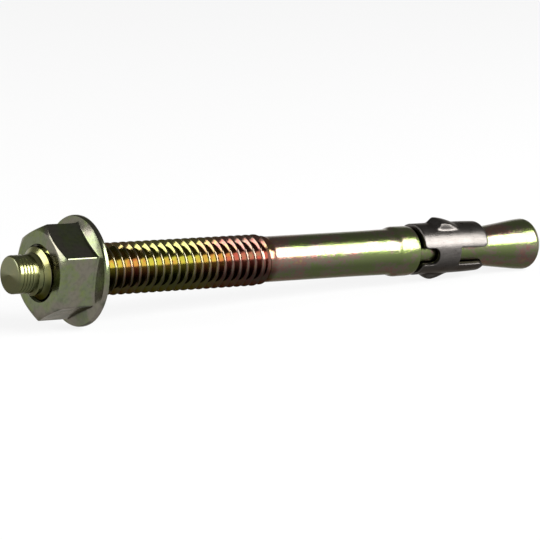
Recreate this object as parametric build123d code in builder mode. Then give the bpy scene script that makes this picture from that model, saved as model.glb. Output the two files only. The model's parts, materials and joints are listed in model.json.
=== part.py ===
"""Wedge anchor: a threaded stud with a cone at its rear end, a sheet-steel expansion clip round the
neck in front of the cone, and a hexagon flange nut on the thread. It lies on a flat surface, on the
rim of the nut's flange and on the cone. All sizes are in millimetres and degrees."""

import os
from math import acos, atan2, cos, degrees, hypot, pi, radians, sin, tan

from build123d import *

# Stud: the collar is placed from its rear end, and the thread runs from the tip up to the shank
stud_length = 98.5
tip_diameter = 5.75
tip_length = 3.1
tip_round = 0.45
thread_diameter = 7.9
thread_pitch = 25.4 / 18
thread_runout = 1.9
thread_lead_angle = 35.0
thread_flank_angle = 30.0
crest_share = 1 / 8
root_share = 1 / 4
thread_overcut = 0.1
shank_length = 23.6
shank_diameter = 7.06
shank_flare_diameter = 7.2
shank_flare_length = 8.0
collar_length = 4.4
collar_diameter = 7.9
collar_lead_length = 0.9
collar_band_length = 1.0
collar_to_rear = 24.6
collar_end_diameter = 7.78
collar_end_bevel = 0.25
neck_diameter = 5.6

# Expander cone at the rear end of the stud
cone_diameter = 8.18
cone_angle = 6.8
cone_crown_radius = 10.0
cone_end_round = 1.3

# Expansion clip, a rolled sheet with two slotted sides and two pressed lugs
clip_gap = 0.7
clip_diameter = 8.06
clip_sheet = 0.85
clip_length = 13.0
clip_seat_clearance = 0.03
clip_bend_length = 5.0
clip_end_round = 0.45
clip_turn = 12.2
notch_width = 2.85
notch_depth = 2.9
notch_corner = 1.2
notch_mouth_round = 0.5
finger_slot_width = 3.35
finger_slot_length = 5.8
finger_slot_corner = 0.25
finger_corner = 1.2
seam_width = 0.6
lug_diameter = 9.76
lug_start = 3.2
lug_wall_length = 0.8
lug_top_length = 1.1
lug_ramp_length = 3.1
lug_foot_angle = 52.0
lug_top_angle = 35.0

# Flange nut, by distance from the face of the stud's tip
nut_front = 5.0
nut_back = 12.2
nut_sides = 6
nut_across_flats = 12.85
nut_bevel_diameter = 11.4
nut_bevel_angle = 30.0
nut_turn = 6.5
nut_thread_clearance = 0.05
nut_mouth_diameter = 8.7
nut_mouth_angle = 45.0
flange_diameter = 16.65
flange_rim = 0.75
flange_slope = 20.0
flange_round = 0.25

# Radii, and places along the axis as distances from the tip, that follow from those sizes
tip_radius = tip_diameter / 2
thread_radius = thread_diameter / 2
shank_radius = shank_diameter / 2
collar_radius = collar_diameter / 2
neck_radius = neck_diameter / 2
cone_radius = cone_diameter / 2
clip_radius = clip_diameter / 2
flange_radius = flange_diameter / 2

collar_end = stud_length - collar_to_rear
collar_start = collar_end - collar_length
thread_end = collar_start - shank_length - thread_runout
crown_end = stud_length - cone_end_round
crown_start = crown_end - cone_crown_radius * sin(radians(cone_angle))
crown_start_radius = cone_radius - cone_crown_radius * (1 - cos(radians(cone_angle)))
cone_start = crown_start - (crown_start_radius - neck_radius) / tan(radians(cone_angle))

clip_front = collar_end + clip_gap
clip_end = clip_front + clip_length
clip_bore = clip_radius - clip_sheet
cone_at_clip_end = neck_radius + (clip_end - cone_start) * tan(radians(cone_angle))
clip_bend_in = max(clip_bore - cone_at_clip_end - clip_seat_clearance, 0)
clip_bend_start = clip_end - clip_bend_length

nut_bore = thread_radius + nut_thread_clearance

# The lying stud's slope, from a line that touches the flange's rear edge and the cone's rear edge
rim_centre = (nut_back - flange_round, flange_radius - flange_round)
heel_centre = (crown_end, cone_radius - cone_end_round)
run = heel_centre[0] - rim_centre[0]
drop = rim_centre[1] - heel_centre[1]
slope = acos((cone_end_round - flange_round) / hypot(run, drop)) - atan2(run, drop)

# The tip's place, which puts the origin under the middle of the lying anchor
tip_height = heel_centre[0] * sin(slope) + heel_centre[1] * cos(slope) + cone_end_round
reach_back = heel_centre[0] * cos(slope) + heel_centre[1] * sin(slope) + cone_end_round
reach_front = tip_round * cos(slope) - (tip_radius - tip_round) * sin(slope) - tip_round
tip_point = Vector(-(reach_back + reach_front) / 2, 0, tip_height)

along = Vector(cos(slope), 0, -sin(slope))
upward = Vector(sin(slope), 0, cos(slope))
sideways = along.cross(upward)
stud_axis = Axis(tip_point, along)
turning = Axis((0, 0, 0), along)


def half_section(turn=180):
    """Plane through the stud's axis: x is the distance from the tip, y the distance from the axis. It hangs
    below the axis unless told otherwise, so that a turned face's seam is on the underside it lies on."""
    return Plane(origin=tip_point, x_dir=along, z_dir=sideways.rotate(turning, turn))


def cross_section(place, turn=0):
    """Plane across the stud at that distance from the tip."""
    return Plane(origin=tip_point + along * place, x_dir=upward.rotate(turning, turn), z_dir=along)


def side_view(place, turn=0, facing=1):
    """Plane through the axis, seen square from outside: x runs along the stud, or back along it."""
    return Plane(origin=tip_point + along * place, x_dir=along * facing, z_dir=upward.rotate(turning, turn))


# Stud, turned in one piece from its tip to its cone
thread_depth = thread_pitch * (1 - crest_share - root_share) / 2 / tan(radians(thread_flank_angle))
thread_lead = (thread_radius - tip_radius) / tan(radians(thread_lead_angle))
groove_count = int((thread_end - tip_length) / thread_pitch)
groove_middle = thread_end - groove_count * thread_pitch / 2
groove_root = thread_pitch * root_share / 2
groove_mouth = groove_root + (thread_depth + thread_overcut) * tan(radians(thread_flank_angle))

with BuildPart() as anchor_bolt:
    with BuildSketch(half_section()):
        with BuildLine():
            Line((0, 0), (0, tip_radius - tip_round))
            RadiusArc((0, tip_radius - tip_round), (tip_round, tip_radius), tip_round)
            Polyline(
                (tip_round, tip_radius),
                (tip_length, tip_radius),
                (tip_length + thread_lead, thread_radius),
                (thread_end, thread_radius),
                (thread_end + thread_runout, shank_radius),
                (collar_start - shank_flare_length, shank_radius),
                (collar_start, shank_flare_diameter / 2),
                (collar_start + collar_lead_length, collar_radius),
                (collar_end - collar_band_length, collar_radius),
                (collar_end - collar_end_bevel, collar_end_diameter / 2),
                (collar_end, collar_end_diameter / 2 - collar_end_bevel),
                (collar_end, neck_radius),
                (cone_start, neck_radius),
                (crown_start, crown_start_radius),
            )
            RadiusArc((crown_start, crown_start_radius), (crown_end, cone_radius), cone_crown_radius)
            RadiusArc((crown_end, cone_radius), (stud_length, cone_radius - cone_end_round), cone_end_round)
            Polyline((stud_length, cone_radius - cone_end_round), (stud_length, 0), (0, 0))
        make_face()
    revolve(axis=stud_axis)
    with BuildSketch(half_section()):
        with Locations((groove_middle, thread_radius)):
            with GridLocations(thread_pitch, 1, groove_count, 1):
                Polygon(
                    (-groove_mouth, thread_overcut),
                    (-groove_root, -thread_depth),
                    (groove_root, -thread_depth),
                    (groove_mouth, thread_overcut),
                    align=None,
                )
    revolve(axis=stud_axis, mode=Mode.SUBTRACT)

anchor_bolt.part.label = "anchor_bolt"


# Expansion clip, one sheet rolled round the neck, with its seam on the far side
lug_radius = lug_diameter / 2
lug_rise = lug_radius - clip_radius
lug_foot = clip_front + lug_start
lug_end = lug_foot + lug_wall_length + lug_top_length + lug_ramp_length
wall_middle = clip_radius - clip_sheet / 2
dent_shift = clip_sheet * tan(atan2(lug_rise, lug_wall_length) / 2)
cut_reach = lug_radius + clip_sheet
lug_turns = (clip_turn, clip_turn + 180)
near_side = clip_turn + 90
far_side = clip_turn + 270

with BuildSketch() as notch:
    with BuildLine():
        Polyline(
            (-clip_gap / 2, -notch_width / 2 - 2 * notch_mouth_round),
            (0, -notch_width / 2 - 2 * notch_mouth_round),
            (0, -notch_width / 2),
            (notch_depth, -notch_width / 2),
            (notch_depth, notch_width / 2),
            (0, notch_width / 2),
            (0, notch_width / 2 + 2 * notch_mouth_round),
            (-clip_gap / 2, notch_width / 2 + 2 * notch_mouth_round),
            close=True,
        )
    make_face()
    fillet(vertices().group_by(Axis.X)[-1], notch_corner)
    fillet(vertices().group_by(Axis.X)[1].sort_by(lambda corner: abs(corner.Y))[:2], notch_mouth_round)

with BuildSketch() as finger_slot:
    with BuildLine():
        Polyline(
            (-clip_sheet, -finger_slot_width / 2 - 2 * finger_corner),
            (0, -finger_slot_width / 2 - 2 * finger_corner),
            (0, -finger_slot_width / 2),
            (finger_slot_length, -finger_slot_width / 2),
            (finger_slot_length, finger_slot_width / 2),
            (0, finger_slot_width / 2),
            (0, finger_slot_width / 2 + 2 * finger_corner),
            (-clip_sheet, finger_slot_width / 2 + 2 * finger_corner),
            close=True,
        )
    make_face()
    fillet(vertices().group_by(Axis.X)[-1], finger_slot_corner)
    fillet(vertices().group_by(Axis.X)[1].sort_by(lambda corner: abs(corner.Y))[:2], finger_corner)

with BuildSketch() as lug_section:
    with BuildLine():
        Polyline(
            (lug_foot, wall_middle),
            (lug_foot, clip_radius),
            (lug_foot + lug_wall_length, lug_radius),
            (lug_foot + lug_wall_length + lug_top_length, lug_radius),
            (lug_end, clip_radius),
            (lug_end, wall_middle),
            close=True,
        )
    make_face()

with BuildSketch() as lug_foot_section:
    with BuildLine():
        Polyline(
            (lug_foot, wall_middle),
            (lug_foot, clip_radius),
            (lug_foot + lug_wall_length, clip_radius),
            (lug_foot + lug_wall_length + lug_top_length, clip_radius),
            (lug_end, clip_radius),
            (lug_end, wall_middle),
            close=True,
        )
    make_face()

with BuildSketch() as dent_section:
    with BuildLine():
        Polyline(
            (lug_foot + dent_shift, neck_radius),
            (lug_foot + dent_shift, clip_bore),
            (lug_foot + dent_shift + lug_wall_length, clip_bore + lug_rise),
            (lug_foot + lug_wall_length + lug_top_length, clip_bore + lug_rise),
            (lug_end, clip_bore),
            (lug_end, neck_radius),
            close=True,
        )
    make_face()

with BuildPart() as expansion_clip:
    with BuildSketch(half_section()):
        with BuildLine():
            Polyline(
                (clip_front, clip_bore),
                (clip_front, clip_radius),
                (clip_bend_start, clip_radius),
                (clip_end, clip_radius - clip_bend_in),
                (clip_end, clip_bore - clip_bend_in),
                (clip_bend_start, clip_bore),
                close=True,
            )
        make_face()
        fillet(vertices().sort_by(lambda corner: corner.X + corner.Y)[-1], clip_end_round)
    revolve(axis=stud_axis)
    for turn in lug_turns:
        with BuildSketch(half_section(turn - lug_top_angle / 2)):
            add(lug_section.sketch)
        revolve(axis=stud_axis, revolution_arc=lug_top_angle)
        for side in (-1, 1):
            with BuildSketch(half_section(turn + side * lug_top_angle / 2)):
                add(lug_section.sketch)
            with BuildSketch(half_section(turn + side * lug_foot_angle / 2)):
                add(lug_foot_section.sketch)
            loft(ruled=True)
        with BuildSketch(half_section(turn - lug_top_angle / 2)):
            add(dent_section.sketch)
        revolve(axis=stud_axis, revolution_arc=lug_top_angle, mode=Mode.SUBTRACT)
    for turn in (near_side, far_side):
        with BuildSketch(side_view(clip_front, turn)):
            add(notch.sketch)
        extrude(amount=cut_reach, mode=Mode.SUBTRACT)
        with BuildSketch(side_view(clip_end, turn, -1)):
            add(finger_slot.sketch)
        extrude(amount=cut_reach, mode=Mode.SUBTRACT)
    with BuildSketch(side_view(clip_front + clip_length / 2, far_side)):
        Rectangle(clip_length, seam_width)
    extrude(amount=cut_reach, mode=Mode.SUBTRACT)

expansion_clip.part.label = "expansion_clip"


# Flange nut, one forging: a hexagon that stands on a conical flange
nut_height = nut_back - nut_front
hexagon_reach = nut_across_flats / 2 / cos(pi / nut_sides)
bevel_length = (hexagon_reach - nut_bevel_diameter / 2) * tan(radians(nut_bevel_angle))
rim_front = nut_back - flange_rim
flange_inner = nut_bore + nut_thread_clearance
mouth_radius = nut_mouth_diameter / 2
mouth_depth = (mouth_radius - nut_bore) / tan(radians(nut_mouth_angle))

with BuildPart() as flange_nut:
    with BuildSketch(cross_section(nut_front, nut_turn)):
        RegularPolygon(radius=hexagon_reach, side_count=nut_sides)
    extrude(amount=nut_height)
    with BuildSketch(half_section()):
        with BuildLine():
            Polyline(
                (nut_front, 0),
                (nut_front, nut_bevel_diameter / 2),
                (nut_front + bevel_length, hexagon_reach),
                (nut_back, hexagon_reach),
                (nut_back, 0),
                close=True,
            )
        make_face()
    revolve(axis=stud_axis, mode=Mode.INTERSECT)
    with BuildSketch(half_section()):
        with BuildLine():
            Polyline(
                (rim_front - (flange_radius - flange_inner) * tan(radians(flange_slope)), flange_inner),
                (rim_front, flange_radius),
                (nut_back, flange_radius),
                (nut_back, flange_inner),
                close=True,
            )
        make_face()
        fillet(vertices().group_by(Axis.Y)[-1], flange_round)
    revolve(axis=stud_axis)
    with BuildSketch(half_section()):
        with BuildLine():
            Polyline(
                (nut_front, 0),
                (nut_front, mouth_radius),
                (nut_front + mouth_depth, nut_bore),
                (nut_back - mouth_depth, nut_bore),
                (nut_back, mouth_radius),
                (nut_back, 0),
                close=True,
            )
        make_face()
    revolve(axis=stud_axis, mode=Mode.SUBTRACT)

flange_nut.part.label = "flange_nut"


os.makedirs("parts", exist_ok=True)
for piece in (anchor_bolt.part, expansion_clip.part, flange_nut.part):
    export_step(piece, f"parts/{piece.label}.step")
    print(piece.label, "volume in cubic millimetres", round(piece.volume, 1))

print("slope of the lying stud in degrees", round(degrees(slope), 3))
print("tip", tip_point, "direction", along)
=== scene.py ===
# %% [markdown]
# # A wedge anchor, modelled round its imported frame
#
# A wedge anchor is three pieces of steel: a stud with a thread at one end and a cone at the other, a
# slotted clip rolled round the neck in front of the cone, and a hexagon nut with a flange. The frame holds
# plain solids of all three at their real size and place. Here each gets the shape that a plain solid lacks,
# such as the thread's helix and the rounded edges, and then the colours of its plating.
#
# The frame is loaded first, because every place below is read from it.

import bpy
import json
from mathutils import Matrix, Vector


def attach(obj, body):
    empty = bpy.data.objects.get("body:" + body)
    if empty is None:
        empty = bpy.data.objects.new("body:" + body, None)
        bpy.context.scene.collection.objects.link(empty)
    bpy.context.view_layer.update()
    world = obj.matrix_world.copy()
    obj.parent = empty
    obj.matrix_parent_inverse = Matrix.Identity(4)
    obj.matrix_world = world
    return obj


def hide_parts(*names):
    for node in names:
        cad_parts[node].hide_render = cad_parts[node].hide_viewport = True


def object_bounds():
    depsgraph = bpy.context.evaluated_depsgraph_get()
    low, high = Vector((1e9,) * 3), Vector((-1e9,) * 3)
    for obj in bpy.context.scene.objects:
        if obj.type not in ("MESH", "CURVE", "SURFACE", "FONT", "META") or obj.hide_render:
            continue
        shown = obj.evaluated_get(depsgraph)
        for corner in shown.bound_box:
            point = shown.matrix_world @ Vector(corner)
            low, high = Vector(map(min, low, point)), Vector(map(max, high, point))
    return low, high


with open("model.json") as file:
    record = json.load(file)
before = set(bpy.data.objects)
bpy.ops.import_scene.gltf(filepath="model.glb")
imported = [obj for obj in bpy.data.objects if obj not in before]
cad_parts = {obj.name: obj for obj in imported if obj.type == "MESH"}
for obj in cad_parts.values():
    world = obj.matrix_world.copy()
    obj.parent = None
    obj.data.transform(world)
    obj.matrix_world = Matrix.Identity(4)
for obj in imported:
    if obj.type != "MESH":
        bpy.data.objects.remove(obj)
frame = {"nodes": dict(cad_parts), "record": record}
cad_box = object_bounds()
print("frame", sorted(frame["nodes"]), "box", cad_box)

# %% [markdown]
# The mounts of the record give the stud's line in space: its tip, its direction and its length. The nut
# travels along that same line. Sizes are written in millimetres and multiplied by mm, because Blender
# works in metres here.

# %% The stud's line and length
from math import asin, atan2, cos, floor, hypot, pi, radians, sin, sqrt, tan

import bmesh
import bpy
from mathutils import Matrix, Vector

mm = 0.001
mounts = {mount["name"]: mount for mount in frame["record"]["mounts"]}
tip_point = Vector(mounts["tip_face"]["pos_m"])
along = Vector(mounts["cone_face"]["axis"]).normalized()
stud_length = (Vector(mounts["cone_face"]["pos_m"]) - tip_point).length
print("stud length in mm", round(stud_length / mm, 2))

# %% [markdown]
# Each piece is modelled standing on its tip end, with the Z axis as its own axis, because a lathe's work
# is easiest upright. Then it is laid down: Z goes along the stud, X goes to the stud's upper side and Y to
# the side that faces the viewer. The lying matrix says this once for all pieces.

# %% Lay a standing piece down
toward_viewer = Vector((0, -1, 0))
upper_side = toward_viewer.cross(along)
lying = Matrix.Translation(tip_point) @ Matrix((upper_side, toward_viewer, along)).transposed().to_4x4()


def put_down_tools():
    """Leaves edit mode and deselects everything."""
    if bpy.context.object and bpy.context.object.mode != "OBJECT":
        bpy.ops.object.mode_set(mode="OBJECT")
    bpy.ops.object.select_all(action="DESELECT")


def take(piece):
    """Makes the piece the only selected and active one."""
    put_down_tools()
    piece.select_set(True)
    bpy.context.view_layer.objects.active = piece


def lay_down(piece):
    """Moves a standing piece into the lying anchor's place and applies that place to its mesh."""
    take(piece)
    piece.matrix_world = lying
    bpy.ops.object.transform_apply(location=True, rotation=True, scale=True)
    size = [round(length / mm, 2) for length in piece.dimensions]
    print(piece.name, "faces", len(piece.data.polygons), "size in mm", size)


# %% [markdown]
# Turned shapes start as a pen line, drawn point by point in the XZ plane: x is the distance from the axis
# and z the place along it. A tiny plane is merged to one vertex, and that vertex is extruded from point to
# point. The lathe is then the spin operator.

# %% Pen line, rounded corners and lathe
weld = 0.0005 * mm


def pen_line(name, points):
    """A chain of edges through (distance from the axis, place along it) points."""
    put_down_tools()
    bpy.ops.mesh.primitive_plane_add(size=mm)
    piece = bpy.context.object
    piece.name = name
    bpy.ops.object.mode_set(mode="EDIT")
    bpy.ops.mesh.select_mode(type="VERT")
    bpy.ops.mesh.select_all(action="SELECT")
    bpy.ops.mesh.merge(type="CENTER")
    bpy.ops.transform.translate(value=(points[0][0], 0, points[0][1]))
    for (x, z), (next_x, next_z) in zip(points, points[1:]):
        bpy.ops.mesh.extrude_vertices_move(TRANSFORM_OT_translate={"value": (next_x - x, 0, next_z - z)})
    bpy.ops.object.mode_set(mode="OBJECT")
    return piece


def pick(wanted, kind="VERT"):
    """Selects what the test wants of the mesh in edit mode, and returns how many it took."""
    bpy.ops.mesh.select_mode(type=kind)
    bpy.ops.mesh.select_all(action="DESELECT")
    mesh = bmesh.from_edit_mesh(bpy.context.object.data)
    parts = {"VERT": mesh.verts, "EDGE": mesh.edges, "FACE": mesh.faces}[kind]
    count = 0
    for part in parts:
        if wanted(part):
            part.select_set(True)
            count += 1
    mesh.select_flush_mode()
    bmesh.update_edit_mesh(bpy.context.object.data)
    return count


def round_corners(piece, corners, radius, segments):
    """Bevels the vertices of a pen line that stand at those corners."""
    take(piece)
    bpy.ops.object.mode_set(mode="EDIT")
    near = 0.01 * mm
    found = pick(lambda v: any(hypot(v.co.x - x, v.co.z - z) < near for x, z in corners))
    bpy.ops.mesh.bevel(offset=radius, segments=segments, affect="VERTICES")
    bpy.ops.object.mode_set(mode="OBJECT")
    print(piece.name, "rounded", found, "corners")


def turn_on_lathe(piece, steps):
    """Spins the pen line a whole turn about the Z axis and closes the seam."""
    take(piece)
    bpy.ops.object.mode_set(mode="EDIT")
    bpy.ops.mesh.select_all(action="SELECT")
    bpy.ops.mesh.spin(steps=steps, angle=2 * pi, center=(0, 0, 0), axis=(0, 0, 1))
    bpy.ops.mesh.select_all(action="SELECT")
    bpy.ops.mesh.remove_doubles(threshold=weld)
    bpy.ops.mesh.normals_make_consistent(inside=False)
    bpy.ops.object.mode_set(mode="OBJECT")


# %% [markdown]
# ## The stud
#
# The real stud is a cold-headed steel bar. Its thread is rolled, so the crests are a little rounded, the
# first turn rises out of the plain tip and the last one runs out into the shank. One tooth is drawn as a
# pen line, one pitch long, and the Screw modifier winds it round and up at once: that gives a true
# right-hand helix, which the ring grooves of the plain solid can't.

# %% One tooth, wound into a thread
pitch = 25.4 / 18 * mm
thread_radius = 3.95 * mm
thread_depth = 0.88 * mm
crest_width = 0.13 * mm
root_width = 0.24 * mm
crest_round = 0.035 * mm
root_round = 0.1 * mm
thread_steps = 128
crest_at_top = 12.98 * mm


def wind_thread(name, grow, low, high, crest_place, steps):
    """A helical band that covers low to high along the axis, with a crest at crest_place on the X side."""
    root = thread_radius - thread_depth + grow
    crest = thread_radius + grow
    first = low - pitch
    first -= (first + pitch / 2 - crest_place) % pitch
    tooth = [
        (root, first),
        (root, first + root_width / 2),
        (crest, first + pitch / 2 - crest_width / 2),
        (crest, first + pitch / 2 + crest_width / 2),
        (root, first + pitch - root_width / 2),
        (root, first + pitch),
    ]
    piece = pen_line(name, tooth)
    round_corners(piece, tooth[2:4], crest_round, 2)
    round_corners(piece, [tooth[1], tooth[4]], root_round, 2)
    winding = piece.modifiers.new("winding", "SCREW")
    winding.axis = "Z"
    winding.angle = 2 * pi
    winding.screw_offset = pitch
    winding.iterations = floor((high - first) / pitch) + 2
    winding.steps = winding.render_steps = steps
    winding.use_merge_vertices = True
    winding.merge_threshold = weld
    take(piece)
    bpy.ops.object.modifier_apply(modifier=winding.name)
    bpy.ops.object.mode_set(mode="EDIT")
    for place, beyond in ((low, lambda v: v.co.z < low), (high, lambda v: v.co.z > high)):
        pick(beyond)
        bpy.ops.transform.resize(value=(1, 1, 0), center_override=(0, 0, place))
    bpy.ops.object.mode_set(mode="OBJECT")
    return piece


# %% [markdown]
# The wound band is the same all along. At its ends each vertex is drawn in or out, towards or away from
# the axis, until it lies between two limits that depend on its place: the envelope of the rolled bar. Where
# both limits meet, the helix is gone and a plain ring is left, to which the plain turned ends are joined.

# %% Fit the thread into its envelope
def between(place, start, end, value_start, value_end):
    """Straight line between two values, level outside its two places."""
    share = min(max((place - start) / (end - start), 0), 1)
    return value_start + share * (value_end - value_start)


def fit_envelope(piece, innermost, outermost):
    """Moves each vertex straight towards or away from the axis until it lies between the two limits."""
    for vertex in piece.data.vertices:
        distance = hypot(vertex.co.x, vertex.co.y)
        wanted = max(min(distance, outermost(vertex.co.z)), innermost(vertex.co.z))
        vertex.co.x *= wanted / distance
        vertex.co.y *= wanted / distance
    take(piece)
    bpy.ops.object.mode_set(mode="EDIT")
    bpy.ops.mesh.select_all(action="SELECT")
    bpy.ops.mesh.remove_doubles(threshold=weld)
    bpy.ops.mesh.normals_make_consistent(inside=False)
    bpy.ops.object.mode_set(mode="OBJECT")


tip_radius = 2.875 * mm
tip_length = 3.5 * mm
lead_length = 0.9 * mm
thread_end = 44.0 * mm
runout_length = 1.9 * mm
shank_radius = 3.53 * mm
plain_tip_end = 2.9 * mm
plain_shank_start = thread_end + runout_length + 0.2 * mm
thread_root = thread_radius - thread_depth

stud = wind_thread("stud", 0, plain_tip_end, plain_shank_start, crest_at_top, thread_steps)
fit_envelope(
    stud,
    lambda z: between(z, thread_end - pitch, thread_end + runout_length, thread_root, shank_radius)
    if z > thread_end - pitch else 0,
    lambda z: between(z, tip_length, tip_length + lead_length, tip_radius, thread_radius)
    if z < tip_length + lead_length
    else between(z, thread_end, thread_end + runout_length, thread_radius, shank_radius),
)
print("thread vertices", len(stud.data.vertices))

# %% [markdown]
# The plain ends are turned on the lathe from two pen lines, with as many steps as the thread has, so that
# their rings fall on the thread's own end rings and weld to them. A cylinder with a bevelled rim would do for
# the tip, but a pen line also holds the four fine marks that the turning tool left on it.

# %% Turn the tip
tip_round = 0.45 * mm
mark_half_width = 0.13 * mm
mark_depth = 0.035 * mm
tip_line = [(0, 0), (tip_radius, 0)]
for count in range(4):
    mark_place = (0.95 + 0.52 * count) * mm
    tip_line.append((tip_radius, mark_place - mark_half_width))
    tip_line.append((tip_radius - mark_depth, mark_place))
    tip_line.append((tip_radius, mark_place + mark_half_width))
tip_line.append((tip_radius, plain_tip_end))
tip_end = pen_line("tip_end", tip_line)
round_corners(tip_end, [tip_line[1]], tip_round, 8)
turn_on_lathe(tip_end, thread_steps)

# %% [markdown]
# The long rear end is one pen line too: the shank, which swells a little, the collar, the neck and the cone,
# which ends in a flatter crown with a round rear edge. Then the three parts are joined to one bar.

# %% Turn the rear end and join the stud
collar_rear = stud_length - 24.6 * mm
collar_front = collar_rear - 4.4 * mm
collar_radius = 3.95 * mm
collar_rear_radius = 3.89 * mm
neck_radius = 2.95 * mm
cone_radius = 4.09 * mm
cone_slope = tan(radians(6.8))
cone_round = 1.3 * mm
crown_length = 1.2 * mm
cone_rim = stud_length - cone_round
cone_edge_radius = cone_radius - crown_length * cone_slope / 2
cone_start = cone_rim - crown_length - (cone_edge_radius - neck_radius) / cone_slope
rear_line = [
    (shank_radius, plain_shank_start),
    (shank_radius, collar_front - 8 * mm),
    (3.6 * mm, collar_front),
    (collar_radius, collar_front + 0.9 * mm),
    (collar_radius, collar_rear - 1.0 * mm),
    (collar_rear_radius, collar_rear - 0.25 * mm),
    (collar_rear_radius - 0.25 * mm, collar_rear),
    (neck_radius, collar_rear),
    (neck_radius, cone_start),
    (cone_edge_radius, cone_rim - crown_length),
    (cone_radius, cone_rim),
    (cone_radius, stud_length),
    (0, stud_length),
]
rear_end = pen_line("rear_end", rear_line)
round_corners(rear_end, [rear_line[2], rear_line[3]], 0.35 * mm, 3)
round_corners(rear_end, [rear_line[1]], 2.0 * mm, 3)
round_corners(rear_end, [rear_line[5], rear_line[6]], 0.08 * mm, 2)
round_corners(rear_end, [rear_line[9]], 0.9 * mm, 3)
round_corners(rear_end, [rear_line[11]], 1.25 * mm, 8)
turn_on_lathe(rear_end, thread_steps)

take(stud)
tip_end.select_set(True)
rear_end.select_set(True)
bpy.ops.object.join()
bpy.ops.object.mode_set(mode="EDIT")
bpy.ops.mesh.select_all(action="SELECT")
bpy.ops.mesh.remove_doubles(threshold=weld)
bpy.ops.mesh.normals_make_consistent(inside=False)
bpy.ops.object.mode_set(mode="OBJECT")
lay_down(stud)

# %% [markdown]
# ## The flange nut
#
# The real nut is forged: a hexagon with a bevelled front stands on a cone-shaped flange. It is turned from
# a pen line first, like a blank on the lathe, with seven close rings of vertices at the front of its cylinder
# and one at the back. Then each of them goes from its circle to the hexagon: the front rings become the
# rounded edge between the bevel and the flats, and the back one follows the flange's slope.

# %% Turn the blank and press its six flats
nut_front = 5.0 * mm
nut_back = 12.2 * mm
nut_half_width = 12.85 / 2 * mm
nut_turn = radians(6.5)
bevel_ring = 6.05 * mm
bevel_angle = radians(29)
edge_reach = 0.2 * mm
edge_steps = 6
flange_radius = 8.325 * mm
flange_slope = tan(radians(20))
rim_front = nut_back - 0.75 * mm
mouth_radius = 4.35 * mm
nut_steps = 144
blank_radius = 7.0 * mm


def slope_place(distance):
    """Place along the axis of the flange's sloping front at that distance from the axis."""
    return rim_front - (flange_radius - distance) * flange_slope


def hexagon_distance(turn):
    """Distance from the axis to the hexagon's side in the direction of that turn from a corner."""
    return nut_half_width / cos(turn % (pi / 3) - pi / 6)


def round_edge(distance, share):
    """Distance and place of a point on the rounded edge between the bevelled front and a flat."""
    corner = Vector((distance, nut_front + (distance - bevel_ring) * tan(bevel_angle)))
    on_bevel = corner - edge_reach * Vector((cos(bevel_angle), sin(bevel_angle)))
    on_flat = corner + edge_reach * Vector((0, 1))
    return on_bevel.lerp(corner, share).lerp(corner.lerp(on_flat, share), share)


ring_gap = 0.1 * mm
edge_round = 0.22 * mm
blank_rings = [nut_front + mm + ring_gap * step for step in range(edge_steps + 1)]
nut_line = [
    (mouth_radius, nut_front),
    (bevel_ring, nut_front),
    *[(blank_radius, place) for place in blank_rings],
    (blank_radius, nut_back - 2 * mm),
    (flange_radius, rim_front),
    (flange_radius, nut_back),
    (mouth_radius, nut_back),
]
nut = pen_line("nut", nut_line)
round_corners(nut, [nut_line[-3], nut_line[-2]], edge_round, 3)
turn_on_lathe(nut, nut_steps)
for vertex in nut.data.vertices:
    distance = hypot(vertex.co.x, vertex.co.y)
    if abs(distance - blank_radius) < weld:
        wanted = hexagon_distance(atan2(vertex.co.y, vertex.co.x))
        if vertex.co.z > (nut_front + nut_back) / 2:
            vertex.co.z = slope_place(wanted)
        else:
            step = round((vertex.co.z - blank_rings[0]) / ring_gap)
            wanted, vertex.co.z = round_edge(wanted, step / edge_steps)
        vertex.co.x *= wanted / distance
        vertex.co.y *= wanted / distance
print("nut blank faces", len(nut.data.polygons))

# %% [markdown]
# The lathe's steps are a multiple of six, so a column of vertices stands on each corner of the hexagon.
# The bevel takes the ring at the front face, the six corner edges and the edge where the hexagon meets the
# flange, as worn dies leave them. They are found by the angle between the faces beside them.

# %% Round the nut's edges
take(nut)
bpy.ops.object.mode_set(mode="EDIT")
bpy.ops.mesh.select_all(action="SELECT")
bpy.ops.mesh.normals_make_consistent(inside=False)
sharp_from = radians(18)


def is_hexagon_edge(edge):
    """Whether this edge of the nut bounds a flat or the front face and is sharp enough to be rounded."""
    middle = (edge.verts[0].co + edge.verts[1].co) / 2
    inside_rim = hypot(middle.x, middle.y) < flange_radius - 0.5 * mm
    return inside_rim and len(edge.link_faces) == 2 and edge.calc_face_angle(0) > sharp_from


found = pick(is_hexagon_edge, "EDGE")
bpy.ops.mesh.bevel(offset=edge_round, segments=3, affect="EDGES", clamp_overlap=False)
bpy.ops.object.mode_set(mode="OBJECT")
print("rounded", found, "edges, faces now", len(nut.data.polygons))

# %% [markdown]
# The bore is the same thread once more, wider by a running clearance, so that the stud's helix always lies
# inside it. At both mouths the thread ends in a countersink, whose outer ring welds to the nut's faces. The
# whole nut is then turned on its axis, so the crest's place is given a little further along.

# %% Cut the nut's own thread
thread_clearance = 0.06 * mm
nut_crest = crest_at_top + pitch * nut_turn / (2 * pi)
bore = wind_thread("bore", thread_clearance, nut_front, nut_back, nut_crest, nut_steps)
fit_envelope(
    bore,
    lambda z: max(mouth_radius - (z - nut_front), mouth_radius - (nut_back - z)),
    lambda z: mouth_radius,
)
take(nut)
bore.select_set(True)
bpy.ops.object.join()
bpy.ops.object.mode_set(mode="EDIT")
bpy.ops.mesh.select_all(action="SELECT")
bpy.ops.mesh.remove_doubles(threshold=weld)
bpy.ops.mesh.normals_make_consistent(inside=False)
bpy.ops.object.mode_set(mode="OBJECT")
nut.rotation_euler.z = nut_turn
bpy.ops.object.transform_apply(rotation=True)
lay_down(nut)

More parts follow.
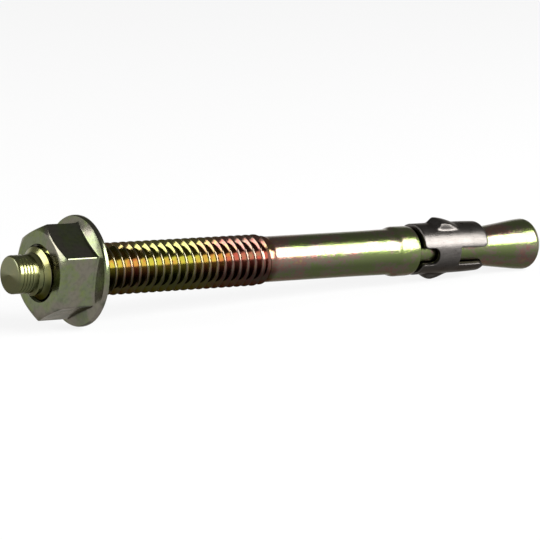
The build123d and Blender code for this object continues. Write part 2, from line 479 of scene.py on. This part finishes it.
# %% [markdown]
# ## The expansion clip
#
# The real clip is stamped flat from sheet steel, its lugs are pressed out, and it is rolled round the neck.
# It is made the same way here. The flat blank repeats a quarter: from the middle of a lug to the middle of
# the notch and slot beside it. x runs round the clip, y along it from its front edge and z outwards.

# %% Stamp a quarter of the blank
clip_front = collar_rear + 0.7 * mm
clip_length = 13.0 * mm
clip_radius = 4.07 * mm
clip_sheet = 0.75 * mm
clip_turn = radians(12.2)
quarter = clip_radius * pi / 2
notch_half = clip_radius * asin(1.425 * mm / clip_radius)
notch_depth = 2.9 * mm
slot_half = clip_radius * asin(1.5 * mm / clip_radius)
slot_length = 5.8 * mm
slot_start = clip_length - slot_length

put_down_tools()
bpy.ops.mesh.primitive_plane_add(size=1)
clip = bpy.context.object
clip.name = "clip"
bpy.ops.object.mode_set(mode="EDIT")
bpy.ops.transform.resize(value=(quarter, clip_length, 1))
bpy.ops.transform.translate(value=(quarter / 2, clip_length / 2, 0))


def cut_line(point, normal, **options):
    """Bisects the whole mesh in edit mode with the plane through that point."""
    bpy.ops.mesh.select_all(action="SELECT")
    bpy.ops.mesh.bisect(plane_co=point, plane_no=normal, threshold=weld, **options)


for x in (quarter - notch_half, quarter - slot_half):
    cut_line((x, 0, 0), (1, 0, 0))
for y in (notch_depth, slot_start):
    cut_line((0, y, 0), (0, 1, 0))


def middle_of(face):
    return face.calc_center_median()


pick(lambda f: middle_of(f).x > quarter - notch_half and middle_of(f).y < notch_depth, "FACE")
bpy.ops.mesh.delete(type="FACE")
pick(lambda f: middle_of(f).x > quarter - slot_half and middle_of(f).y > slot_start, "FACE")
bpy.ops.mesh.delete(type="FACE")
bpy.ops.mesh.select_all(action="SELECT")
bpy.ops.mesh.dissolve_limited(angle_limit=radians(1))
print("quarter blank corners", len(bmesh.from_edit_mesh(clip.data).verts))

# %% [markdown]
# The stamp's punches have rounded corners: wide ones inside the notch, a small one in the slot, and a
# large one where the slot opens at the rear edge. Each is a vertex bevel of the flat outline.

# %% Round the blank's corners
roundings = [
    ((quarter - notch_half, 0), 0.5 * mm, 5),
    ((quarter - notch_half, notch_depth), 1.2 * mm, 8),
    ((quarter - slot_half, slot_start), 0.25 * mm, 4),
    ((quarter - slot_half, clip_length), 1.3 * mm, 8),
]
for (x, y), radius, segments in roundings:
    pick(lambda v: hypot(v.co.x - x, v.co.y - y) < 0.01 * mm)
    bpy.ops.mesh.bevel(offset=radius, segments=segments, affect="VERTICES")
bpy.ops.object.mode_set(mode="OBJECT")

# %% [markdown]
# Two Mirror modifiers make the whole blank of the quarter: the first at the lug's middle, the second at the
# middle of the near notch. The two ends are cut back by half the seam. Then the outline is one face again,
# which is extruded by the sheet's thickness, and its rims get a small bevel, as tumbling gives them.

# %% Unfold the quarter to the whole blank
seam_half = 0.3 * mm
rim_round = 0.12 * mm


def mirror_at(piece, place):
    """Mirrors the flat blank at that place round the clip and welds it there."""
    take(piece)
    piece.location.x = -place
    bpy.ops.object.transform_apply(location=True)
    mirror = piece.modifiers.new("mirror", "MIRROR")
    mirror.use_axis = (True, False, False)
    mirror.merge_threshold = weld
    bpy.ops.object.modifier_apply(modifier=mirror.name)


mirror_at(clip, 0)
mirror_at(clip, quarter)
bpy.ops.object.mode_set(mode="EDIT")
cut_line((2 * quarter - seam_half, 0, 0), (1, 0, 0), clear_outer=True)
cut_line((-2 * quarter + seam_half, 0, 0), (1, 0, 0), clear_inner=True)
bpy.ops.mesh.select_all(action="SELECT")
bpy.ops.mesh.dissolve_limited(angle_limit=radians(0.5))
print("blank outline faces", len(bmesh.from_edit_mesh(clip.data).faces))
bpy.ops.mesh.select_all(action="SELECT")
bpy.ops.mesh.extrude_region_move(TRANSFORM_OT_translate={"value": (0, 0, -clip_sheet)})
bpy.ops.mesh.select_all(action="SELECT")
bpy.ops.mesh.normals_make_consistent(inside=False)
rims = pick(lambda e: len(e.link_faces) == 2 and any(len(f.verts) > 8 for f in e.link_faces), "EDGE")
bpy.ops.mesh.bevel(offset=rim_round, segments=2, affect="EDGES")
print("rim edges", rims)

# %% [markdown]
# A flat face can't be bent, so the sheet is first cut into a fine grid: even steps round the clip and along
# it, with closer ones near the rear edge, which is worn round. Subdividing would spoil the curved outline of
# the notches, while straight cuts through the whole sheet leave it as it is.

# %% Cut the sheet into a grid
clip_step = 2 * pi * clip_radius / 144
for step in range(-71, 72):
    cut_line((step * clip_step, 0, 0), (1, 0, 0))
grid_places = [0.25 * mm * count for count in range(1, 51)]
rear_wear = 0.45 * mm
grid_places += [clip_length - rear_wear * share for share in (0.75, 0.5, 0.3, 0.15, 0.05)]
for place in grid_places:
    cut_line((0, place, 0), (0, 1, 0))
bpy.ops.object.mode_set(mode="OBJECT")
print("grid vertices", len(clip.data.vertices))

# %% [markdown]
# Three tools now act on every vertex. The punch lifts the lugs: bumps with a steep rounded front, a short top
# and a long curved ramp to the rear, the lower one a little nearer to the front edge. The bending bar draws
# the fingers in. The roll winds the sheet round the neck, slightly askew, and the clip is set a little high
# on the neck. Sculpting could do this, but a height that is worked out gives both lugs the same form.

# %% Press the lugs and roll the clip
lug_height = 0.85 * mm
lug_start = 3.2 * mm
lug_wall = 1.2 * mm
lug_top = 0.5 * mm
lug_ramp = 2.9 * mm
lower_lug_shift = 0.7 * mm
clip_lift = 0.17 * mm
lug_top_half = radians(17.5)
lug_foot_half = radians(26)
bend_length = 5.0 * mm
bend_depth = 0.13 * mm
roll_skew = radians(0.4) / mm


def soft_step(place, start, end):
    """0 before start, 1 after end, and a soft S between."""
    share = min(max((place - start) / (end - start), 0), 1)
    return share * share * (3 - 2 * share)


def lug_lift(turn, place):
    """Height of the lug's punch at that turn from its middle and that place along the clip."""
    ramp_start = lug_start + lug_wall + lug_top
    rise = sin(between(place, lug_start, lug_start + lug_wall, 0, pi / 2))
    fall = between(place, ramp_start - 0.4 * mm, ramp_start + lug_ramp, 0, 1) ** 1.6
    soft_side = soft_step(abs(turn), lug_top_half, lug_foot_half)
    straight_side = between(abs(turn), lug_top_half, lug_foot_half, 0, 1)
    return lug_height * rise * (1 - fall) * (1 - (soft_side + straight_side) / 2)


for vertex in clip.data.vertices:
    x, place, height = vertex.co
    turn = x / clip_radius
    from_lug = turn % pi - pi / 2
    turn += roll_skew * (place - notch_depth / 2)
    outer_share = (height + clip_sheet) / clip_sheet
    to_rear = max(rear_wear - (clip_length - place), 0)
    worn = rear_wear - sqrt(rear_wear ** 2 - min(to_rear, rear_wear) ** 2)
    bent = bend_depth * (max(place - (clip_length - bend_length), 0) / bend_length) ** 2
    height += lug_lift(from_lug, place + (lower_lug_shift if x > 0 else 0)) - bent - worn * outer_share
    vertex.co = (
        (clip_radius + height) * cos(turn),
        (clip_radius + height) * sin(turn),
        clip_front + place,
    )
take(clip)
bpy.ops.object.mode_set(mode="EDIT")
bpy.ops.mesh.select_all(action="SELECT")
bpy.ops.mesh.remove_doubles(threshold=weld)
bpy.ops.mesh.normals_make_consistent(inside=False)
bpy.ops.object.mode_set(mode="OBJECT")
clip.rotation_euler.z = clip_turn + pi / 2
clip.location.x = clip_lift
bpy.ops.object.transform_apply(location=True, rotation=True)
lay_down(clip)

# %% [markdown]
# ## Riding on the frame
#
# Each piece stands for one node of the frame and moves with that node's body. Edges flatter than the given
# angle are shaded smooth, so the turned and rolled surfaces look round and the pressed edges stay crisp. The
# angle is small for stud and nut, because the flanks of a thread mirror the light from one to the other, and
# they do so only where they are shaded flat.

# %% Each piece rides on its body
for piece, body, node, slot, smooth_below in (
    (stud, "stud", "anchor_bolt", "stud_zinc", 15),
    (nut, "nut", "flange_nut", "nut_zinc", 15),
    (clip, "clip", "expansion_clip", "clip_steel", 35),
):
    take(piece)
    bpy.ops.object.shade_smooth_by_angle(angle=radians(smooth_below))
    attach(piece, body)
    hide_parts(node)

# %% [markdown]
# ## Finishes
#
# Shader maths reads best as arithmetic. A Wire is one output socket of a node tree: sums, products and
# powers of wires add the Math nodes for them, and the method node adds any other kind, its settings first
# and then the values or wires of its sockets.

# %% Arithmetic on sockets
class Wire:
    """One output socket of a node tree."""

    def __init__(self, tree, socket=None):
        self.tree = tree
        self.socket = socket

    def node(self, kind, settings, sockets, output=0):
        """Adds a node of that kind and returns the wire of one of its outputs."""
        made = self.tree.nodes.new("ShaderNode" + kind)
        for name, value in settings.items():
            if name == "stops":
                ramp = made.color_ramp
                for place, colour in value[1:-1]:
                    ramp.elements.new(place).color = colour
                ramp.elements[0].position, ramp.elements[0].color = value[0]
                ramp.elements[-1].position, ramp.elements[-1].color = value[-1]
            else:
                setattr(made, name, value)
        for name, value in sockets.items():
            self.feed(made.inputs[name], value)
        return Wire(self.tree, made.outputs[output])

    def feed(self, socket, value):
        """Links a wire to an input socket, or sets its value."""
        if isinstance(value, Wire):
            self.tree.links.new(value.socket, socket)
        else:
            socket.default_value = value

    def math(self, operation, first, second):
        return self.node("Math", {"operation": operation}, {0: first, 1: second})

    def __add__(self, other):
        return self.math("ADD", self, other)

    def __radd__(self, other):
        return self.math("ADD", other, self)

    def __sub__(self, other):
        return self.math("SUBTRACT", self, other)

    def __rsub__(self, other):
        return self.math("SUBTRACT", other, self)

    def __mul__(self, other):
        return self.math("MULTIPLY", self, other)

    def __rmul__(self, other):
        return self.math("MULTIPLY", other, self)

    def __truediv__(self, other):
        return self.math("DIVIDE", self, other)

    def __rtruediv__(self, other):
        return self.math("DIVIDE", other, self)

    def __pow__(self, other):
        return self.math("POWER", self, other)

    def __rpow__(self, other):
        return self.math("POWER", other, self)

    def rise(self, start, end):
        """0 before start, 1 after end, and a soft S between."""
        soft = {"interpolation_type": "SMOOTHSTEP"}
        return self.node("MapRange", soft, {"Value": self, "From Min": start, "From Max": end})

    def blend(self, colour, other):
        """Mixes two colours, with this wire as the share of the second."""
        return self.node("Mix", {"data_type": "RGBA"}, {0: self, 6: colour, 7: other}, output=2)


def grey(value):
    return (value, value, value, 1)


# %% [markdown]
# All patterns lie on the metal itself. They read Object coordinates, which are turned here into the place
# along the stud, the height over its axis, the place towards the viewer and a vector in millimetres for the
# noises.

# %% Places on the metal
def point_on(wire):
    """The shaded point as a vector in millimetres, counted from the stud's tip."""
    point = wire.node("TexCoord", {}, {}, output=3)
    from_tip = wire.node("VectorMath", {"operation": "SUBTRACT"}, {0: point, 1: tip_point})
    return wire.node("VectorMath", {"operation": "SCALE"}, {0: from_tip, "Scale": 1 / mm})


def places_of(point):
    """The point's places along, above and beside the stud's axis."""
    product = {"operation": "DOT_PRODUCT"}
    lines = (along, upper_side, toward_viewer)
    return [point.node("VectorMath", product, {0: point, 1: line}, output=1) for line in lines]


def new_metal(piece):
    """Gives the piece an empty metal and returns its tree's first wire and its shader node."""
    metal = bpy.data.materials.new(piece.name + "_metal")
    metal.use_nodes = True
    piece.data.materials.append(metal)
    shader = metal.node_tree.nodes["Principled BSDF"]
    shader.inputs["Metallic"].default_value = 1.0
    return Wire(metal.node_tree), shader


def noise(wire, point, scale, detail=2.0, stretch=None):
    """Noise about 0, between -0.5 and 0.5, with that many features a millimetre."""
    if stretch:
        point = wire.node("VectorMath", {"operation": "MULTIPLY"}, {0: point, 1: stretch})
    made = wire.node("TexNoise", {}, {"Vector": point, "Scale": scale, "Detail": detail})
    return made - 0.5


# %% [markdown]
# The stud and the nut are zinc plated and yellow passivated. The film is thin enough to split light into
# colours: with its thickness they run from grey-green through olive, yellow, gold and red to mauve, and
# again to green. So the thickness is what the shader works out, from the place along the stud and a few
# noises, and one ramp turns it into the metal's colour.

# %% Colours of the passivated film
film_stops = [
    (0.00, (0.150, 0.170, 0.095, 1)),
    (0.16, (0.150, 0.185, 0.060, 1)),
    (0.32, (0.190, 0.198, 0.060, 1)),
    (0.46, (0.245, 0.230, 0.070, 1)),
    (0.58, (0.250, 0.158, 0.070, 1)),
    (0.68, (0.235, 0.090, 0.075, 1)),
    (0.78, (0.200, 0.135, 0.095, 1)),
    (0.88, (0.180, 0.155, 0.095, 1)),
    (1.00, (0.130, 0.172, 0.036, 1)),
]
zinc_tint = (0.45, 0.42, 0.36, 1)


def film_colour(thickness, shade):
    """The film's colour at that thickness, darkened by the painted shade that is given."""
    tint = thickness.node("ValToRGB", {"stops": film_stops}, {"Fac": thickness})
    return shade.blend(grey(0), tint)


def painted_side_shade(wire, deepest):
    """Painted shade: 1 where the metal faces up or sideways, down to the deepest share where it faces the
    floor.
    """
    normal = wire.node("TexCoord", {}, {}, output=1)
    down = wire.node("VectorMath", {"operation": "DOT_PRODUCT"}, {0: normal, 1: (0, 0, -1)}, output=1)
    return 1 - down.rise(0.0, 0.62) * (1 - deepest)


print("colours of the film", len(film_stops))

# %% [markdown]
# The film of the real stud is thinnest at the tip and thickest on the shank: olive, then yellow and orange in
# the thread, red at its end, and grey to green from there to the cone. A painted image could hold that, but a
# ramp over the stud's length needs no unwrapping, and noises add clouds and flecks to it. The crests are
# rubbed bare and the tip's end face is made darker and rougher. The underside is darkened as painted shade,
# deepest on the thread, and the coat fades with it.

# %% Yellow zinc of the stud
bare_crest = (0.22, 0.19, 0.15, 1)
darker_end_colour = (0.055, 0.052, 0.022, 1)
stud_thickness_stops = [
    (0.00, grey(0.30)),
    (0.06, grey(0.36)),
    (0.13, grey(0.50)),
    (0.19, grey(0.57)),
    (0.21, grey(0.54)),
    (0.225, grey(0.45)),
    (0.31, grey(0.44)),
    (0.335, grey(0.55)),
    (0.365, grey(0.67)),
    (0.445, grey(0.70)),
    (0.475, grey(0.82)),
    (0.53, grey(0.92)),
    (0.575, grey(0.97)),
    (0.69, grey(0.93)),
    (0.74, grey(0.90)),
    (0.82, grey(0.86)),
    (0.90, grey(0.95)),
    (1.00, grey(0.86)),
]

wire, shader = new_metal(stud)
point = point_on(wire)
place, height, beside = places_of(point)
share = place / (stud_length / mm)
lengthwise = wire.node("ValToRGB", {"stops": stud_thickness_stops}, {"Fac": share})
cloud = noise(wire, point, 0.35, 4.0, (0.6, 1, 1))
fleck = noise(wire, point, 2.2, 4.0)
plain = place.rise(43.0, 47.0)
thickness = lengthwise + cloud * (0.50 + plain * 1.1) + fleck * (0.34 + plain * 0.5)
distance = (height * height + beside * beside) ** 0.5
threaded = place.rise(4.2, 4.8) * (1 - place.rise(45.0, 46.5))
# painted shade: the colour darkens on the lower half of the stud, more on the thread
underside = (height / distance * -1).rise(-0.28, 0.45)
shade = 1 - underside * (0.68 + threaded * 0.19)
crest = threaded * distance.rise(3.86, 3.94)
film = film_colour(thickness, shade)
# the rubbed crests get the same painted shade
rubbed_crest_in_painted_shade = (shade * 0.85).blend(grey(0), bare_crest)
tint = (crest * 0.7).blend(film, rubbed_crest_in_painted_shade)
# the tip's end face is made darker and rougher
end_face = 1 - place.rise(0.1, 0.5)
wire.feed(shader.inputs["Base Color"], (end_face * 0.5).blend(tint, darker_end_colour))
grain = noise(wire, point, 5.0, 2.0)
wire.feed(shader.inputs["Roughness"], 0.22 + cloud * 0.08 + grain * 0.12 + end_face * 0.15 - threaded * 0.09)
# the coat fades with the painted shade, so the underside reflects less
wire.feed(shader.inputs["Coat Weight"], shade * (0.60 - threaded * 0.50))
shader.inputs["Coat Roughness"].default_value = 0.18
shader.inputs["Coat IOR"].default_value = 1.8
shader.inputs["Specular Tint"].default_value = zinc_tint
dents = noise(wire, point, 1.1, 3.0, (0.5, 1, 1)) * (1 - threaded * 0.85)
relief = grain * (0.12 + plain * 2.0) + dents * (1.6 + plain * 3.5)
bumps = wire.node("Bump", {}, {"Strength": 0.4, "Distance": 0.03 * mm, "Height": relief})
wire.feed(shader.inputs["Normal"], bumps)
print("nodes of the stud's metal", len(wire.tree.nodes))

# %% [markdown]
# The nut is plated and passivated like the stud, but its film is thinner: grey-green and mottled, with mauve
# clouds and faint dark stains. It doesn't change along the axis, so noises alone give its thickness.

# %% Yellow zinc of the nut
mauve_film = (0.150, 0.128, 0.105, 1)
wire, shader = new_metal(nut)
point = point_on(wire)
cloud = noise(wire, point, 0.45, 3.0)
fleck = noise(wire, point, 2.6, 3.0)
thickness = 0.05 + cloud * 0.55 + fleck * 0.40
mauve = noise(wire, point, 0.30, 2.0).rise(-0.06, 0.10) * 0.75
stain = noise(wire, point, 1.6, 4.0).rise(-0.05, 0.15)
# painted shade: the film is darkened where the nut faces the floor
film = film_colour(thickness, painted_side_shade(wire, 0.22) * 0.85)
tint = mauve.blend(film, mauve_film)
wire.feed(shader.inputs["Base Color"], (1 - stain * 0.16).blend(grey(0), tint))
grain = noise(wire, point, 5.0, 2.0)
wire.feed(shader.inputs["Roughness"], 0.18 + cloud * 0.10 + grain * 0.10)
shader.inputs["Coat Weight"].default_value = 0.35
shader.inputs["Coat Roughness"].default_value = 0.18
shader.inputs["Coat IOR"].default_value = 1.7
shader.inputs["Specular Tint"].default_value = zinc_tint
dents = noise(wire, point, 0.9, 3.0)
relief = grain * 0.4 + dents
bumps = wire.node("Bump", {}, {"Strength": 0.5, "Distance": 0.04 * mm, "Height": relief})
wire.feed(shader.inputs["Normal"], bumps)
print("nodes of the nut's metal", len(wire.tree.nodes))

# %% [markdown]
# The clip has no yellow film: it is satin steel, with a fine grain and scratches that are drawn out
# lengthwise. Its tone lies between a dark and a light grey, and three noises choose where.

# %% Plain steel of the clip
dark_steel = (0.070, 0.064, 0.060, 1)
light_steel = (0.135, 0.125, 0.116, 1)
wire, shader = new_metal(clip)
point = point_on(wire)
cloud = noise(wire, point, 0.6, 3.0)
grain = noise(wire, point, 7.0, 2.0, (0.35, 1, 1))
scratch = noise(wire, point, 9.0, 2.0, (0.06, 1, 1))
tone = (0.5 + cloud * 0.9 + grain * 0.8 + scratch * 0.9).blend(dark_steel, light_steel)
# painted shade: the steel is darkened where it faces the floor
wire.feed(shader.inputs["Base Color"], painted_side_shade(wire, 0.35).blend(grey(0), tone))
wire.feed(shader.inputs["Roughness"], 0.30 + cloud * 0.10 + grain * 0.10)
shader.inputs["Specular Tint"].default_value = (0.5, 0.48, 0.46, 1)
bumps = wire.node("Bump", {}, {"Strength": 0.4, "Distance": 0.04 * mm, "Height": grain + cloud})
wire.feed(shader.inputs["Normal"], bumps)
print("nodes of the clip's metal", len(wire.tree.nodes))

# %% [markdown]
# ## Studio
#
# The floor is a pale sheet. The camera and the metal see it nearly white through Light Path, and a share of
# its real shading stays, so that it keeps the anchor's shadow. The world is a white band at the horizon and
# a dim ceiling above it, for every kind of ray.

# %% Floor and world
put_down_tools()
bpy.ops.mesh.primitive_plane_add(size=4)
floor_sheet = bpy.context.object
floor_sheet.name = "floor_sheet"
floor_sheet.location.z = -0.02 * mm
paper = bpy.data.materials.new("paper")
paper.use_nodes = True
floor_sheet.data.materials.append(paper)
wire = Wire(paper.node_tree)
white_to = ("Is Camera Ray", "Is Glossy Ray", "Is Transmission Ray")
seen = sum(wire.node("LightPath", {}, {}, output=ray) for ray in white_to)
shaded = wire.node("BsdfDiffuse", {}, {"Color": grey(0.85)})
white = wire.node("Emission", {}, {"Color": grey(1), "Strength": 1.0})
share = wire.math("MINIMUM", seen, 1.0) * 0.85
sheet = wire.node("MixShader", {}, {0: share, 1: shaded, 2: white})
wire.feed(paper.node_tree.nodes["Material Output"].inputs["Surface"], sheet)

studio = bpy.data.worlds.new("studio")
bpy.context.scene.world = studio
studio.use_nodes = True
wire = Wire(studio.node_tree)
direction = wire.node("TexCoord", {}, {}, output=0)
upward = wire.node("SeparateXYZ", {}, {0: direction}, output=2)
ceiling = upward.rise(sin(radians(14)), sin(radians(26)))
background = studio.node_tree.nodes["Background"]
wire.feed(background.inputs["Color"], ceiling.blend(grey(1.0), grey(0.17)))
background.inputs["Strength"].default_value = 1.0
print("nodes of floor and world", len(paper.node_tree.nodes), len(studio.node_tree.nodes))

# %% [markdown]
# Polished metal shows its lamps, so their places come from the highlights in the photograph. A wide soft box
# in front and to the right gives the long bright strip on the stud and, mirrored twice, the bright patches
# in the thread's grooves. One behind on the left gives the bright crescent on the nut's bevel. Sun lamps
# would leave only small hard spots on metal.

# %% Soft boxes
middle = (cad_box[0] + cad_box[1]) / 2


def soft_box(name, azimuth, elevation, width, height, radiance):
    """An area lamp 0.6 m from the anchor, azimuth from the viewer's side towards the cone."""
    lamp = bpy.data.lights.new(name, "AREA")
    lamp.shape = "RECTANGLE"
    lamp.size, lamp.size_y = width, height
    lamp.energy = radiance * pi * width * height
    stand = bpy.data.objects.new(name, lamp)
    bpy.context.scene.collection.objects.link(stand)
    azimuth, elevation = radians(azimuth), radians(elevation)
    out = Vector((sin(azimuth) * cos(elevation), -cos(azimuth) * cos(elevation), sin(elevation)))
    stand.location = middle + 0.6 * out
    stand.rotation_euler = out.to_track_quat("Z", "Y").to_euler()
    print(name, "at", [round(v, 3) for v in stand.location])


soft_box("key_box", 34, 28, 0.56, 0.38, 12.0)
soft_box("rim_box", -108, 25, 0.36, 0.24, 6.5)

# %% [markdown]
# The camera's place, direction and lens were measured from the photograph's outline: it looks from the tip's
# side, a little from above, with a long lens.

# %% Camera of the photograph
lens_data = bpy.data.cameras.new("photo_camera")
camera = bpy.data.objects.new("photo_camera", lens_data)
bpy.context.scene.collection.objects.link(camera)
lens_data.lens = 226.667
lens_data.sensor_width = 36
lens_data.clip_start = 0.01
camera.location = (-0.30431, -0.41883, 0.09488)
camera.rotation_euler = (radians(90 - 9.89), 0, radians(-35.80))
bpy.context.scene.camera = camera
bpy.context.scene.view_settings.view_transform = "Standard"
print("camera", round((camera.location - middle).length, 3), "m away, lens", lens_data.lens, "mm")

# %% Import json
import json
